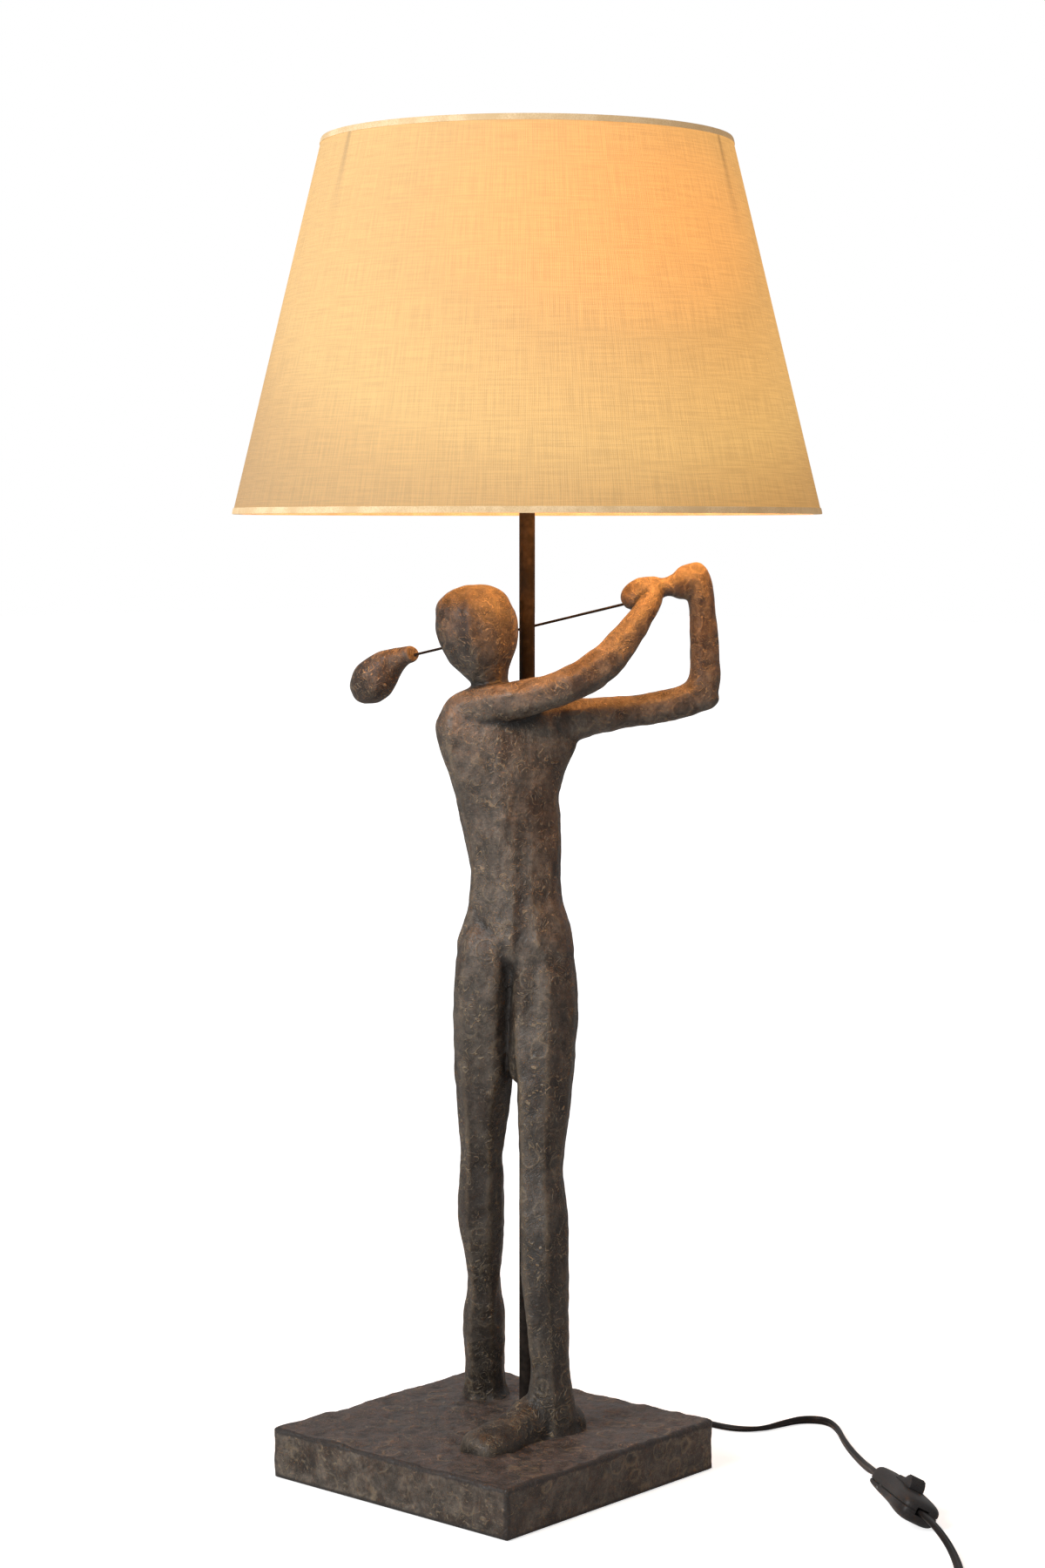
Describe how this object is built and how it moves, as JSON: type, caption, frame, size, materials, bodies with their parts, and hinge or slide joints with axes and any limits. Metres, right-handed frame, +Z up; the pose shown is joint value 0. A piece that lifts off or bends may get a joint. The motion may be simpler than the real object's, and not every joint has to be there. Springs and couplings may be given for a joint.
{
  "type": "table lamp",
  "caption": "Table lamp with a cast figure swinging a club in front of a slim pole, on a square embossed plinth, with a tapered drum shade and a corded switch.",
  "frame": {"origin": "on the surface that the lamp stands on, below the axis that the pole and the shade share", "axes": "+Z up; +X and +Y along the plinth's sides; the figure faces -Y and the lead leaves towards +Y"},
  "size_m": [0.612, 0.3508, 0.7907],
  "materials": {
    "resin": "cast resin, dry-brushed dark bronze",
    "plinth_resin": "cast resin, embossed and dry-brushed",
    "black_iron": "dark bronze lacquer",
    "zinc": "bright zinc",
    "steel_plate": "black lacquer",
    "felt": "wool felt",
    "thermoplastic": "moulded, satin",
    "ceramic": "glazed",
    "brass": "plain",
    "bulb_glass": "frosted",
    "bulb_metal": "rolled",
    "insulator": "vitrite",
    "solder": "soldered",
    "linen": "plain-weave linen on clear backing",
    "tape": "folded self-fabric",
    "shade_wire": "epoxy-coated wire",
    "lead_black": "matt flexible",
    "black_plastic": "moulded, satin",
    "nylon": "moulded"
  },
  "bodies": {
    "lamp": {"base_plinth": "plinth_resin", "base_bottom_plate": "steel_plate", "plate_screws": "zinc", "base_felt": "felt", "pole_tube": "black_iron", "pole_washer": "zinc", "pole_nut": "zinc", "pole_nipple": "zinc", "figure_body": "resin", "figure_arms": "resin", "figure_head": "resin", "club_head": "resin", "neck_pin": "zinc", "shoulder_pins": "zinc", "foot_studs": "zinc", "foot_washers": "zinc", "foot_nuts": "zinc", "club_shaft": "black_iron", "holder_cap": "thermoplastic", "holder_skirt": "thermoplastic", "holder_insert": "ceramic", "holder_screw_shell": "brass", "holder_centre_contact": "brass", "holder_terminals": "brass", "inner_lead": "lead_black", "cord_to_switch": "lead_black", "cord_from_switch": "lead_black", "cord_coil": "lead_black", "cord_bush": "black_plastic", "cord_clamp": "nylon", "clamp_screws": "zinc", "switch_base": "black_plastic", "switch_cover": "black_plastic", "switch_terminals": "brass", "switch_screws": "zinc", "plug_body": "black_plastic", "plug_pins": "brass"},
    "shade": {"shade_cover": "linen", "shade_top_ring": "shade_wire", "shade_bottom_ring": "shade_wire", "shade_top_tape": "tape", "shade_bottom_tape": "tape", "shade_arms": "shade_wire", "shade_fitter": "shade_wire"},
    "bulb": {"bulb_glass": "bulb_glass", "bulb_cap": "bulb_metal", "bulb_insulator": "insulator", "bulb_tip": "solder"},
    "retaining_ring": {"retaining_ring": "thermoplastic"},
    "rocker": {"switch_rocker": "black_plastic"}
  },
  "joints": [
    {"name": "shade_turn", "type": "hinge", "parent": "lamp", "child": "shade", "pos_m": [0, 0, 0.6366], "axis": [0, 0, 1], "continuous": true},
    {"name": "ring_unscrew", "type": "slide", "parent": "lamp", "child": "retaining_ring", "axis": [0, 0, 1], "range_m": [0, 0.02]},
    {"name": "bulb_withdraw", "type": "slide", "parent": "lamp", "child": "bulb", "axis": [0, 0, 1], "range_m": [0, 0.032]},
    {"name": "rocker_tilt", "type": "hinge", "parent": "lamp", "child": "rocker", "pos_m": [0.25001, 0.04807, 0.01909], "axis": [0.424, 0.7745, -0.4695], "range_deg": [0, 26]}
  ]
}
